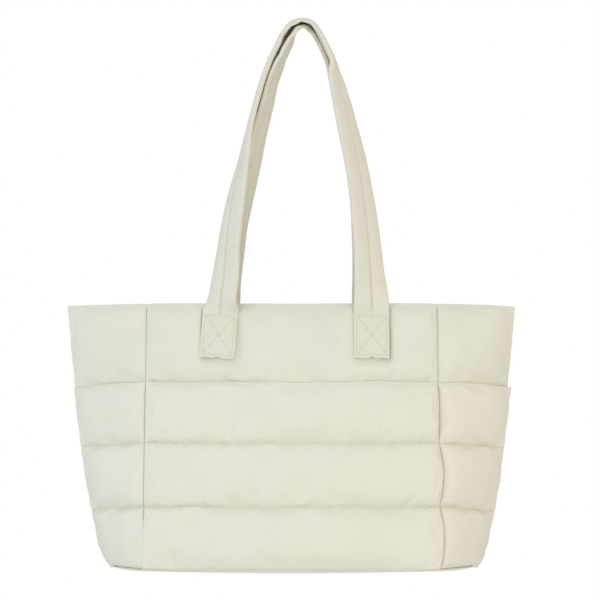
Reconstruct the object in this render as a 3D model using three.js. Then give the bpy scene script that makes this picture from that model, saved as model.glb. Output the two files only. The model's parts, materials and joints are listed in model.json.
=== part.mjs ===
// A puffer tote bag that hangs by its two shoulder straps. Sizes are in millimetres, +Z is up and the front
// faces -Y. The body is sewn from a front panel, a back panel, two side gussets that fold outwards and a
// base. A second quilted layer of three puffs lies on the front and on both sides and makes slip pockets.
// The origin is under the top of the straps, where a hook or a hand holds the bag.
import * as THREE from "three";
import { mergeVertices } from "three/addons/utils/BufferGeometryUtils.js";

// The body, measured along the stitched line in the middle of its walls.
const bodyHeight = 281;
const mouthWidth = 477; // from gusset fold to gusset fold at the mouth
const baseWidth = 383; // from gusset fold to gusset fold along the bottom
const mouthDepth = 56; // from front to back in the middle of the mouth
const baseDepth = 148;
const panelWidth = 306; // front and back panels, from seam to seam
const panelBow = 7; // how far the middle of a panel stands out past its seams

// Cloth and padding.
const stitchedThickness = 2.4; // where a seam presses the layers flat
const puffHeight = 7; // what the padding adds outside, at a puff's crown
const liningPuff = 2; // what it adds inside
const foldPuff = 0.12; // share of the padding that is left where a gusset folds
const rimPuff = 0.4; // share of it that is left at the rim of the mouth
const mouthRounding = 4; // height over which that rim rounds off
const baseThickness = 5;
const baseRounding = 1.2;

// The pocket layer's rows of puffs, counted up from the base.
const lowerRowHeight = 68;
const middleRowHeight = 66;
const upperRowHeight = 62;
const bandSeamRise = 1.5; // the body's own quilt seam lies this far above the pockets' rims

// The straps.
const strapWidth = 35;
const strapThickness = 5;
const strapEndWidth = 37; // the flat end that is sewn to a panel
const strapTail = 58; // length of that end, below the mouth
const strapDrop = 297; // from the mouth to the underside of the arch
const strapSpacing = 160; // between the middles of the two legs
const strapShift = 4.5; // the pair of legs sits this far right of the bag's middle
const archShift = 11.8; // the top of the arch, right of the bag's middle
const strapGroove = 0.9; // depth of the stitched groove down the middle
const strapCurl = 2.6; // how far the edges curl under, once the band has turned on edge

// Clearances.
const seamGap = 0.4; // between two sewn edges
const layerGap = 1; // between the body and a pocket that lies on it
const strapGap = 0.4; // between a strap's end and its panel
const archGap = 1.6; // between the two straps at the top

// The body from the base to the mouth. Height is a share of the body's height, fold and depth are shares of
// the way from the base's width to the mouth's and from the mouth's depth to the base's, and bow is a share
// of the panel's bow.
const bodySections = [
  { height: 0.0, fold: 0.0, depth: 0.98, bow: 0.3 },
  { height: 0.035, fold: 0.136, depth: 1.0, bow: 0.5 },
  { height: 0.08, fold: 0.223, depth: 1.0, bow: 0.7 },
  { height: 0.15, fold: 0.33, depth: 0.93, bow: 0.9 },
  { height: 0.24, fold: 0.445, depth: 0.83, bow: 1.0 },
  { height: 0.47, fold: 0.65, depth: 0.61, bow: 1.0 },
  { height: 0.72, fold: 0.832, depth: 0.34, bow: 0.8 },
  { height: 1.0, fold: 1.0, depth: 0.0, bow: 0.4 },
];

// A strap's way from the mouth to the top of its arch. Rise is a share of the drop, left and right are each
// leg's distance from the middle of the arch as a share of that at the mouth, and turn is how far the band
// has turned from facing the front, in degrees.
const frontStrapRoute = [
  { rise: 0.0, left: 1.0, right: 1.0, turn: 3 },
  { rise: 0.1, left: 0.935, right: 0.975, turn: 30 },
  { rise: 0.25, left: 0.88, right: 0.95, turn: 52 },
  { rise: 0.45, left: 0.77, right: 0.875, turn: 71 },
  { rise: 0.62, left: 0.655, right: 0.765, turn: 82 },
  { rise: 0.74, left: 0.54, right: 0.615, turn: 84 },
  { rise: 0.84, left: 0.43, right: 0.48, turn: 84 },
  { rise: 0.91, left: 0.325, right: 0.36, turn: 86 },
  { rise: 0.96, left: 0.23, right: 0.24, turn: 88 },
  { rise: 0.99, left: 0.12, right: 0.13, turn: 89 },
];
const backStrapRoute = [
  { rise: 0.0, left: 1.0, right: 1.0, turn: 3 },
  { rise: 0.1, left: 0.93, right: 0.96, turn: 26 },
  { rise: 0.25, left: 0.867, right: 0.905, turn: 44 },
  { rise: 0.45, left: 0.71, right: 0.806, turn: 52 },
  { rise: 0.62, left: 0.57, right: 0.66, turn: 58 },
  { rise: 0.74, left: 0.47, right: 0.54, turn: 62 },
  { rise: 0.84, left: 0.375, right: 0.445, turn: 70 },
  { rise: 0.91, left: 0.28, right: 0.34, turn: 78 },
  { rise: 0.96, left: 0.2, right: 0.23, turn: 85 },
  { rise: 0.99, left: 0.115, right: 0.13, turn: 89 },
];

// How a puff is shaped. A sag under 1 puts its crown below its middle, and the higher the others, the flatter
// the crown and the steeper the padding rises from a quilt seam or from the seam between two walls.
const puffSag = 0.85;
const quiltSteepness = 4;
const panelSteepness = 14;
const gussetSteepness = 10;

// How a gusset is bent: the sharpness of its fold, and the shares of the way from the fold to a seam where
// the padding is full again and where the wall starts to turn towards its seam.
const foldSharpness = 1.25;
const foldZone = 0.35;
const mitre = 0.85;

// Where each wall has its grid lines, from seam to seam and from one quilt seam to the next.
const panelLines = [-1, -0.96, -0.87, -0.6, -0.2, 0.2, 0.6, 0.87, 0.96, 1];
const gussetLines = [-1, -0.94, -0.82, -0.62, -0.38, -0.12, 0, 0.12, 0.38, 0.62, 0.82, 0.94, 1];
const puffLines = [0, 0.08, 0.24, 0.5, 0.76, 0.92];
const tailShares = [1, 0.66, 0.33];
const strapStepsPerRow = 2;
const strapColumns = 4; // an even number, so that one grid line runs down the groove

// Sizes that follow from those above.
const panelHalf = panelWidth / 2;
const wallHalf = stitchedThickness / 2;
const pocketHeight = lowerRowHeight + middleRowHeight + upperRowHeight;
const bandSeam = pocketHeight + bandSeamRise;
const wallFoot = baseThickness + seamGap;
const pocketFoot = baseRounding;
const pocketSeams = [pocketFoot, lowerRowHeight, lowerRowHeight + middleRowHeight, pocketHeight];
const bodySeams = [wallFoot, lowerRowHeight, lowerRowHeight + middleRowHeight, bandSeam];
const archHeight = bodyHeight + strapDrop;

const cloth = { color: 0xdfddce, roughness: 0.62, metalness: 0 };
const materials = {
  shell: new THREE.MeshStandardMaterial(cloth),
  pocket: new THREE.MeshStandardMaterial({ ...cloth, color: 0xe1dfcf }),
  strap: new THREE.MeshStandardMaterial({ ...cloth, color: 0xdbd7c6, roughness: 0.66 }),
};

// Reads a column of a table at a place between its rows.
function fromTable(table, key, at, column) {
  const found = table.findIndex((row) => row[key] >= at);
  const upper = found < 0 ? table.length - 1 : Math.max(found, 1);
  const [low, high] = [table[upper - 1], table[upper]];
  const share = THREE.MathUtils.clamp((at - low[key]) / (high[key] - low[key]), 0, 1);
  return THREE.MathUtils.lerp(low[column], high[column], share);
}

const section = (z, column) => fromTable(bodySections, "height", z / bodyHeight, column);
const foldHalf = (z) => THREE.MathUtils.lerp(baseWidth, mouthWidth, section(z, "fold")) / 2;
const halfDepth = (z) => THREE.MathUtils.lerp(mouthDepth, baseDepth, section(z, "depth")) / 2;
const panelFace = (across, z) => halfDepth(z) + panelBow * section(z, "bow") * (1 - across * across);

// The front panel's place, seen from above, at a share of the way from its left seam (-1) to its right (1).
function panelLine(across, z) {
  const place = new THREE.Vector2(across * (panelHalf - seamGap / 2), -panelFace(across, z));
  return { place, outward: new THREE.Vector2(0, -1) };
}

// The right gusset's place, from the front seam (-1) round its fold (0) to the back seam (1).
function gussetLine(across, z) {
  const reach = foldHalf(z) - panelHalf;
  const bend = Math.abs(across);
  const place = new THREE.Vector2(
    panelHalf + seamGap / 2 + reach * (1 - bend ** foldSharpness),
    halfDepth(z) * across,
  );
  const slope = Math.sign(across) * reach * foldSharpness * bend ** (foldSharpness - 1);
  const outward = new THREE.Vector2(halfDepth(z), slope).normalize();
  const seamward = new THREE.Vector2(0, Math.sign(across));
  outward.lerp(seamward, THREE.MathUtils.clamp((bend - mitre) / (1 - mitre), 0, 1)).normalize();
  return { place, outward };
}

// How full the padding is between two seams: 0 at either seam and 1 at the crown, which hangs low.
function fullness(share) {
  const fromCrown = Math.abs(2 * share ** puffSag - 1);
  return Math.sqrt(Math.max(0, 1 - fromCrown ** quiltSteepness));
}

// How full a row of puffs is at a height, given the heights of the seams. The last seam is the row's top.
function rowFullness(seams, z) {
  const upper = Math.max(1, seams.findIndex((seam) => seam >= z));
  return fullness((z - seams[upper - 1]) / (seams[upper] - seams[upper - 1]));
}

// The band under the mouth has no seam at its top: it thins towards the rim instead.
function bandFullness(z) {
  const share = (z - bandSeam) / (bodyHeight - bandSeam);
  return share < 0.5 ? fullness(share) : THREE.MathUtils.lerp(1, rimPuff, (2 * share - 1) ** 2);
}

// A wall's padding also thins to nothing at its side seams, and a gusset's nearly so along its fold.
const panelFullness = (across) => Math.sqrt(1 - Math.abs(across) ** panelSteepness);
function gussetFullness(across) {
  const atFold = THREE.MathUtils.lerp(foldPuff, 1, Math.min(1, Math.abs(across) / foldZone));
  return atFold * Math.sqrt(1 - Math.abs(across) ** gussetSteepness);
}

// The rim of the mouth is round: 1 below it and a third at its very top.
function rimShare(z) {
  const into = THREE.MathUtils.clamp((z - (bodyHeight - mouthRounding)) / mouthRounding, 0, 1);
  return Math.max(1 / 3, Math.sqrt(1 - into * into));
}

// The heights of a wall's grid lines: each row between two seams is cut at the same shares.
function gridHeights(seams, shares) {
  const rows = seams.slice(1).map((top, i) => shares.map((s) => THREE.MathUtils.lerp(seams[i], top, s)));
  return rows.flat();
}

const rimHeights = [0, 0.6].map((share) => bodyHeight - mouthRounding * (1 - share));
const bandHeights = gridHeights([bandSeam, bodyHeight - mouthRounding], puffLines);
const rowHeights = gridHeights(pocketSeams, puffLines);
const pocketHeights = [...rowHeights, pocketHeight];
const clearOfFoot = rowHeights.filter((z) => z > wallFoot);
const wallHeights = [wallFoot, ...clearOfFoot, ...bandHeights, ...rimHeights, bodyHeight];

// A unit box with a grid of faces on its two broad sides, and its corners shared so that it can be bent.
function boxGrid(columns, rows) {
  const box = new THREE.BoxGeometry(1, 1, 1, columns, 1, rows);
  box.deleteAttribute("normal");
  box.deleteAttribute("uv");
  return mergeVertices(box);
}

// A closed padded wall. A box's grid is bent so that X runs from seam to seam, Y from the outside in and Z up.
function paddedWall(name, material, lines, heights, line, outside, inside) {
  const wall = boxGrid(lines.length - 1, heights.length - 1);
  const points = wall.getAttribute("position");
  for (let i = 0; i < points.count; i++) {
    const across = lines[Math.round((points.getX(i) + 0.5) * (lines.length - 1))];
    const z = heights[Math.round((points.getZ(i) + 0.5) * (heights.length - 1))];
    const { place, outward } = line(across, z);
    const offset = points.getY(i) < 0 ? outside(across, z) : -inside(across, z);
    place.addScaledVector(outward, offset);
    points.setXYZ(i, place.x, place.y, z);
  }
  wall.computeVertexNormals();
  const mesh = new THREE.Mesh(wall, material);
  mesh.name = name;
  return mesh;
}

// How far a body wall reaches outside its stitched line. Behind a pocket it isn't padded.
function bodyOutside(fullnessAcross, behindPocket) {
  return (across, z) => {
    const lowerRows = behindPocket ? 0 : rowFullness(bodySeams, z);
    const fill = z > bandSeam ? bandFullness(z) : lowerRows;
    return (wallHalf + puffHeight * fill * fullnessAcross(across)) * rimShare(z);
  };
}

// How far a body wall reaches inside it, where the lining is padded less.
function bodyInside(fullnessAcross) {
  return (across, z) => {
    const fill = z > bandSeam ? bandFullness(z) : 0;
    return (wallHalf + liningPuff * fill * fullnessAcross(across)) * rimShare(z);
  };
}

// A pocket lies on the body's outer face and has its padding on the outside.
const pocketOutside = (fullnessAcross) => (across, z) =>
  wallHalf + layerGap + stitchedThickness + puffHeight * rowFullness(pocketSeams, z) * fullnessAcross(across);
const pocketInside = () => -(wallHalf + layerGap);

function bodyWall(name, lines, line, fullnessAcross, behindPocket) {
  const outside = bodyOutside(fullnessAcross, behindPocket);
  return paddedWall(name, materials.shell, lines, wallHeights, line, outside, bodyInside(fullnessAcross));
}

function pocketWall(name, lines, line, fullnessAcross) {
  const outside = pocketOutside(fullnessAcross);
  return paddedWall(name, materials.pocket, lines, pocketHeights, line, outside, pocketInside);
}

// The base is one padded sheet with the body's outline, and the walls stand on its edge.
function basePanel() {
  const outline = new THREE.Shape();
  const quarter = [...panelLines.map((a) => panelLine(a, 0)), ...gussetLines.map((a) => gussetLine(a, 0))];
  const half = quarter.map(({ place, outward }) => place.addScaledVector(outward, wallHalf - baseRounding));
  const centre = new THREE.Vector2();
  const round = [...half, ...half.map((point) => point.clone().rotateAround(centre, Math.PI))];
  outline.setFromPoints(round);
  const sheet = new THREE.ExtrudeGeometry(outline, {
    depth: baseThickness - 2 * baseRounding,
    bevelThickness: baseRounding,
    bevelSize: baseRounding,
    bevelSegments: 1,
  });
  sheet.translate(0, 0, baseRounding);
  const mesh = new THREE.Mesh(sheet, materials.shell);
  mesh.name = "base_panel";
  return mesh;
}

// The front strap's middle at a height on the panel: its back lies just outside the padding.
function strapFace(x, z) {
  const reaches = [-1, 0, 1].map((side) => {
    const across = THREE.MathUtils.clamp((x + (side * strapEndWidth) / 2) / panelHalf, -1, 1);
    const padding = bodyOutside(panelFullness, true)(across, Math.min(z, bodyHeight - mouthRounding));
    return panelFace(across, z) + padding;
  });
  return -(Math.max(...reaches) + strapGap + strapThickness / 2);
}

// The front strap's middle line and turn, from the foot of its left end over the arch to that of its right.
function strapCourse(route) {
  const archY = -(strapWidth + archGap) / 2;
  const leg = (side) => {
    const footX = strapShift + (side * strapSpacing) / 2;
    const mouthY = strapFace(footX, bodyHeight);
    const column = side < 0 ? "left" : "right";
    const tail = tailShares.map((share) => {
      const z = bodyHeight - strapTail * share;
      return { place: new THREE.Vector3(footX, strapFace(footX, z), z), turn: 0, flat: 1 };
    });
    const rise = route.map((row) => ({
      place: new THREE.Vector3(
        THREE.MathUtils.lerp(archShift, footX, row[column]),
        THREE.MathUtils.lerp(mouthY, archY, row.rise),
        bodyHeight + (strapDrop + strapThickness / 2) * row.rise,
      ),
      turn: row.turn,
      flat: row.rise > 0 ? 0 : 1,
    }));
    return [...tail, ...rise];
  };
  const top = {
    place: new THREE.Vector3(archShift, archY, archHeight + strapThickness / 2),
    turn: 90,
    flat: 0,
  };
  return [...leg(-1), top, ...leg(1).reverse()];
}

// A strap is a box's grid swept along its course, with X across the band, Y through it and Z along it. The
// band turns from flat against its panel to edge-on, and its stitched middle is a shallow groove.
function strap(name, route) {
  const course = strapCourse(route);
  const path = new THREE.CatmullRomCurve3(course.map((knot) => knot.place), false, "catmullrom");
  const turns = new THREE.CatmullRomCurve3(
    course.map((knot) => new THREE.Vector3(knot.turn, knot.flat, 0)), false, "catmullrom", 0.3,
  );
  const steps = (course.length - 1) * strapStepsPerRow;
  const band = boxGrid(strapColumns, steps);
  const points = band.getAttribute("position");
  for (let i = 0; i < points.count; i++) {
    const along = points.getZ(i) + 0.5;
    const across = points.getX(i) * 2;
    const middle = path.getPoint(along);
    const { x: turn, y: flat } = turns.getPoint(along);
    const tangent = path.getTangent(along);
    const inPlane = new THREE.Vector3(tangent.z, 0, -tangent.x).normalize();
    const angle = THREE.MathUtils.degToRad(turn);
    const forward = new THREE.Vector3(0, -1, 0);
    const width = inPlane.clone().multiplyScalar(Math.cos(angle)).addScaledVector(forward, Math.sin(angle));
    const face = forward.clone().multiplyScalar(Math.cos(angle)).addScaledVector(inPlane, -Math.sin(angle));
    const halfWidth = THREE.MathUtils.lerp(strapWidth, strapEndWidth, THREE.MathUtils.clamp(flat, 0, 1)) / 2;
    const outer = points.getY(i) < 0;
    const groove = outer && across === 0 ? strapGroove : 0;
    const curl = strapCurl * across * across * Math.sin(angle) ** 2;
    const lift = (outer ? strapThickness / 2 : -strapThickness / 2) - groove - curl;
    middle.addScaledVector(width, across * halfWidth).addScaledVector(face, lift);
    points.setXYZ(i, middle.x, middle.y, middle.z);
  }
  band.computeVertexNormals();
  const mesh = new THREE.Mesh(band, materials.strap);
  mesh.name = name;
  return mesh;
}

// Turns a mesh round to the other side of the bag.
function turnedRound(mesh) {
  mesh.rotation.z = Math.PI;
  return mesh;
}

// The back strap is swept as a front one and mirrored to the back, with its faces turned the right way again.
function mirroredToBack(mesh) {
  mesh.geometry.scale(1, -1, 1);
  const index = mesh.geometry.getIndex();
  for (let i = 0; i < index.count; i += 3) {
    const [second, third] = [index.getX(i + 1), index.getX(i + 2)];
    index.setX(i + 1, third);
    index.setX(i + 2, second);
  }
  mesh.geometry.computeVertexNormals();
  return mesh;
}

const bag = new THREE.Group();
bag.add(
  bodyWall("front_panel", panelLines, panelLine, panelFullness, true),
  turnedRound(bodyWall("back_panel", panelLines, panelLine, panelFullness, false)),
  bodyWall("right_gusset", gussetLines, gussetLine, gussetFullness, true),
  turnedRound(bodyWall("left_gusset", gussetLines, gussetLine, gussetFullness, true)),
  basePanel(),
  pocketWall("front_pocket", panelLines, panelLine, panelFullness),
  pocketWall("right_pocket", gussetLines, gussetLine, gussetFullness),
  turnedRound(pocketWall("left_pocket", gussetLines, gussetLine, gussetFullness)),
  strap("front_strap", frontStrapRoute),
  mirroredToBack(strap("back_strap", backStrapRoute)),
);
bag.position.set(-archShift, 0, -archHeight);

const hangingBag = new THREE.Group();
hangingBag.add(bag);
export default hangingBag;
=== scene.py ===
"""Dresses the frame of a puffer tote bag that hangs by its two shoulder straps.

The classes work in millimetres in the bag's own frame: X is 0 in the middle of the front panel, Z is 0 under
the base, and the front faces -Y. Place.metres takes such points to the frame of the part.
"""

import json
import logging
import math
from dataclasses import dataclass, field, replace
from enum import Enum

import bmesh
import bpy
import numpy as np
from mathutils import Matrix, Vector

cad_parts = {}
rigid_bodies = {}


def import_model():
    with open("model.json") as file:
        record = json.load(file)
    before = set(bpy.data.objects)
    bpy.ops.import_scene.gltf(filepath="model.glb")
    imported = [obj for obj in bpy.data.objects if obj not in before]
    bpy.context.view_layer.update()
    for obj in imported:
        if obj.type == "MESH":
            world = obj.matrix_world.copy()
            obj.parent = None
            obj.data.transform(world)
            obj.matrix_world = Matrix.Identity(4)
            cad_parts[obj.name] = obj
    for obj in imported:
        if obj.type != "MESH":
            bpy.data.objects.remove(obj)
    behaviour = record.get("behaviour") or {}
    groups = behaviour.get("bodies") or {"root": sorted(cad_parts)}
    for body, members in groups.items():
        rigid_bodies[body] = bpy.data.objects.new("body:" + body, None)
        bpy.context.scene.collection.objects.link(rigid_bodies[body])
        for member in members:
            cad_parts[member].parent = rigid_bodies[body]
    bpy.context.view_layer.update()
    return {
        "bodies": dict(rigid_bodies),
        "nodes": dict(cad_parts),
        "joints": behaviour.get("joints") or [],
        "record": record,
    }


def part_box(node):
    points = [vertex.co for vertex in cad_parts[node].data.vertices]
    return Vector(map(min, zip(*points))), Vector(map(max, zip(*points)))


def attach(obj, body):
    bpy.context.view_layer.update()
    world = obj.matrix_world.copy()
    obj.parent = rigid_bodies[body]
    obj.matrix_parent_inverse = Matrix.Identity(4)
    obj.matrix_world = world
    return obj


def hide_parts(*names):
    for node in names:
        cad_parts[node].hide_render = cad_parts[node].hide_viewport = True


LOG = logging.getLogger("puffer_tote")
BODY = "root"
CLOTH_MAP = "cloth"
SEAM_ATTRIBUTE = "seam_mm"
FAR = 99.0  # written as the distance to a stitched seam, in millimetres, where none is near


def linear_rgb(colour: str) -> tuple[float, float, float, float]:
    """Turns an sRGB hex colour into linear light.

    Args:
        colour: Six hex digits after a hash.

    Returns:
        Red, green, blue and an alpha of 1.
    """
    channels = [int(colour[i : i + 2], 16) / 255 for i in (1, 3, 5)]
    linear = [c / 12.92 if c <= 0.04045 else ((c + 0.055) / 1.055) ** 2.4 for c in channels]
    return (*linear, 1.0)


def add_node(
    tree: bpy.types.NodeTree, kind: str, inputs: dict | None = None, **settings: object
) -> bpy.types.Node:
    """Adds a node to a tree.

    Args:
        tree: The tree that gets the node.
        kind: The node's type name.
        inputs: A value, or an output to link, for each input by name or number.
        **settings: The node's own properties.

    Returns:
        The new node.
    """
    node = tree.nodes.new(kind)
    for name, value in settings.items():
        setattr(node, name, value)
    for socket, value in (inputs or {}).items():
        if isinstance(value, bpy.types.NodeSocket):
            tree.links.new(value, node.inputs[socket])
        else:
            node.inputs[socket].default_value = value
    return node


def add_math(
    tree: bpy.types.NodeTree, operation: str, *inputs: float | bpy.types.NodeSocket
) -> bpy.types.NodeSocket:
    """Adds a math node and finds its output."""
    return add_node(tree, "ShaderNodeMath", dict(enumerate(inputs)), operation=operation).outputs[0]


def add_noise(tree: bpy.types.NodeTree, scale: float, detail: float) -> bpy.types.NodeSocket:
    """Adds noise that is fixed to the object.

    Args:
        tree: The tree that gets the nodes.
        scale: How many patches there are to a metre.
        detail: How many finer layers it has.

    Returns:
        The noise, from 0 to 1.
    """
    place = add_node(tree, "ShaderNodeTexCoord").outputs["Object"]
    noise = add_node(tree, "ShaderNodeTexNoise", {"Vector": place, "Scale": scale, "Detail": detail})
    return noise.outputs["Fac"]


def add_tint(
    tree: bpy.types.NodeTree, share: bpy.types.NodeSocket, low: str, high: str
) -> bpy.types.NodeSocket:
    """Blends from one hex colour to another."""
    ends = {0: share, 6: linear_rgb(low), 7: linear_rgb(high)}
    return add_node(tree, "ShaderNodeMix", ends, data_type="RGBA").outputs[2]


def add_ramp(
    tree: bpy.types.NodeTree, value: bpy.types.NodeSocket, spans: tuple[float, ...], kind: str = "LINEAR"
) -> bpy.types.NodeSocket:
    """Maps a value from one span to another.

    Args:
        tree: The tree that gets the node.
        value: The value.
        spans: The span it comes from and the span it goes to, as four numbers.
        kind: How it goes between them.

    Returns:
        The mapped value.
    """
    ends = dict(zip(("From Min", "From Max", "To Min", "To Max"), spans))
    ramp = add_node(tree, "ShaderNodeMapRange", {"Value": value, **ends}, interpolation_type=kind)
    return ramp.outputs["Result"]


def new_material(name: str) -> bpy.types.Material:
    """Makes a material with an empty node tree.

    Args:
        name: Its name.

    Returns:
        The material.
    """
    material = bpy.data.materials.new(name)
    material.use_nodes = True
    material.node_tree.nodes.clear()
    return material


def add_surface(tree: bpy.types.NodeTree, inputs: dict) -> None:
    """Ends a material's tree with a shader and its output."""
    shader = add_node(tree, "ShaderNodeBsdfPrincipled", inputs)
    add_node(tree, "ShaderNodeOutputMaterial", {"Surface": shader.outputs[0]})


def smooth_table(at: np.ndarray, keys: np.ndarray, values: np.ndarray) -> np.ndarray:
    """Reads a smooth curve through a table's rows.

    Args:
        at: Where to read it.
        keys: The rows' rising keys.
        values: The rows' values.

    Returns:
        The curve's values, in the shape of at.
    """
    keys, values = np.asarray(keys, float), np.asarray(values, float)
    slopes = np.gradient(values, keys)
    at = np.clip(at, keys[0], keys[-1])
    low = np.clip(np.searchsorted(keys, at, side="right") - 1, 0, len(keys) - 2)
    span = keys[low + 1] - keys[low]
    t = (at - keys[low]) / span
    return (
        values[low] * (1 + 2 * t) * (1 - t) ** 2
        + values[low + 1] * t * t * (3 - 2 * t)
        + span * t * (1 - t) * (slopes[low] * (1 - t) - slopes[low + 1] * t)
    )


def smooth_step(share: np.ndarray) -> np.ndarray:
    """Eases from 0 to 1."""
    share = np.clip(share, 0, 1)
    return share * share * (3 - 2 * share)


def bell(at: np.ndarray, breadth: float | np.ndarray) -> np.ndarray:
    """Falls from 1 at nought to nearly 0 at twice the breadth."""
    return np.exp(-((at / breadth) ** 2))


def graded(count: int, crowding: float) -> np.ndarray:
    """Spreads grid lines from 0 to 1, closer together at both ends.

    Args:
        count: How many lines there are.
        crowding: 0 for even lines, up to 1.

    Returns:
        The lines' places.
    """
    even = np.linspace(0, 1, count)
    return (1 - crowding) * even + crowding * (0.5 - 0.5 * np.cos(np.pi * even))


@dataclass(frozen=True)
class Place:
    """Where the bag's own frame lies in the part's."""

    middle_x: float
    base_z: float

    @classmethod
    def of_frame(cls) -> "Place":
        """Measures the place from the front panel and the base."""
        low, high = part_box("front_panel")
        return cls((low.x + high.x) / 2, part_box("base_panel")[0].z)

    def metres(self, points: np.ndarray) -> np.ndarray:
        """Takes points in millimetres in the bag's frame to metres in the part's."""
        return np.asarray(points, float) / 1000 + np.array([self.middle_x, 0, self.base_z])

    def millimetres(self, points: np.ndarray) -> np.ndarray:
        """Takes points in metres in the part's frame to millimetres in the bag's."""
        return (np.asarray(points, float) - np.array([self.middle_x, 0, self.base_z])) * 1000


class Side(Enum):
    """The sides of the bag: the sign that turns the front or right side into this one, and its kind."""

    FRONT = (1, "panel")
    RIGHT = (1, "gusset")
    BACK = (-1, "panel")
    LEFT = (-1, "gusset")


@dataclass(frozen=True)
class Section:
    """One level of the body, in shares.

    height is a share of the body's, fold of the way from the base's width to the mouth's, depth of the way
    from the mouth's depth to the base's, and bow of the panels' full bow.
    """

    height: float
    fold: float
    depth: float
    bow: float


@dataclass(frozen=True)
class BagForm:
    """The body's stitched form, which the padding swells from."""

    place: Place
    height: float
    panel_half: float
    mouth_half: float
    base_half: float
    mouth_half_depth: float = 28.0
    base_half_depth: float = 74.0
    panel_bow: float = 7.0
    fold_sharpness: float = 1.25
    mitre: float = 0.85
    rim_droop: float = 1.8
    mouth_sag: float = 1.0
    sag_half: float = 85.0
    left_slack: float = 1.3
    left_tuck: float = 2.4
    sections: tuple[Section, ...] = (
        Section(0.000, 0.000, 0.98, 0.3),
        Section(0.035, 0.136, 1.00, 0.5),
        Section(0.080, 0.223, 1.00, 0.7),
        Section(0.150, 0.330, 0.93, 0.9),
        Section(0.240, 0.445, 0.83, 1.0),
        Section(0.470, 0.650, 0.61, 1.0),
        Section(0.720, 0.832, 0.34, 0.8),
        Section(1.000, 1.000, 0.00, 0.4),
    )

    @classmethod
    def of_frame(cls, wall_half: float = 1.2) -> "BagForm":
        """Measures the form from the frame's nodes.

        Args:
            wall_half: Half a stitched wall's thickness, in millimetres.

        Returns:
            The form.
        """
        place = Place.of_frame()
        panel = place.millimetres(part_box("front_panel"))
        gusset = place.millimetres(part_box("right_gusset"))
        base = place.millimetres(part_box("base_panel"))
        return cls(
            place=place,
            height=panel[1][2],
            panel_half=panel[1][0],
            mouth_half=gusset[1][0] - wall_half,
            base_half=base[1][0] - wall_half,
        )

    def level(self, z: np.ndarray, column: str) -> np.ndarray:
        """Reads a column of the sections at some heights."""
        keys = [s.height for s in self.sections]
        return smooth_table(np.asarray(z) / self.height, keys, [getattr(s, column) for s in self.sections])

    def half_depth(self, z: np.ndarray) -> np.ndarray:
        """Half the depth between front and back panel at their seams."""
        share = self.level(z, "depth")
        return self.mouth_half_depth + (self.base_half_depth - self.mouth_half_depth) * share

    def fold_half(self, z: np.ndarray) -> np.ndarray:
        """Half the width between the gussets' folds."""
        return self.base_half + (self.mouth_half - self.base_half) * self.level(z, "fold")

    def drawn_in(self, z: np.ndarray) -> np.ndarray:
        """How far the left gusset's lower half is drawn in, below 130 mm and more so below 30 mm."""
        low_half = self.left_slack * (1 - smooth_step((z - 60) / 70))
        return low_half + self.left_tuck * (1 - smooth_step((z - 6) / 24))

    def stitched(self, side: Side, across: np.ndarray, z: np.ndarray) -> tuple[np.ndarray, np.ndarray]:
        """Finds points of the stitched form.

        Args:
            side: The side of the bag.
            across: From -1 at the side's first seam to 1 at its last, going round the bag from the front.
            z: The heights.

        Returns:
            The points and the level directions that point out of the bag.
        """
        sign, kind = side.value
        depth = self.half_depth(z)
        if kind == "panel":
            face = depth + self.panel_bow * self.level(z, "bow") * (1 - across**2)
            x, y = across * self.panel_half, -face
            out_x, out_y = np.zeros_like(across), -np.ones_like(across)
        else:
            bend = np.maximum(np.abs(across), 1e-6)
            reach = self.fold_half(z) - self.panel_half - (self.drawn_in(z) if side is Side.LEFT else 0.0)
            x, y = self.panel_half + reach * (1 - bend**self.fold_sharpness), depth * across
            out_x = depth
            out_y = np.sign(across) * reach * self.fold_sharpness * bend ** (self.fold_sharpness - 1)
            length = np.hypot(out_x, out_y)
            turn = np.clip((bend - self.mitre) / (1 - self.mitre), 0, 1)
            out_x = out_x / length * (1 - turn)
            out_y = out_y / length * (1 - turn) + np.sign(across) * turn
            length = np.hypot(out_x, out_y)
            out_x, out_y = out_x / length, out_y / length
        sag = self.mouth_sag * np.clip(1 - (x / self.sag_half) ** 2, 0, 1)
        droop = (self.rim_droop * (np.abs(x) / self.mouth_half) ** 2 + sag) * smooth_step(z / self.height)
        points = np.stack([sign * x, sign * y, z - droop], axis=-1)
        outward = np.stack([sign * out_x, sign * out_y, np.zeros_like(out_x)], axis=-1)
        return points, outward


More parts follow.
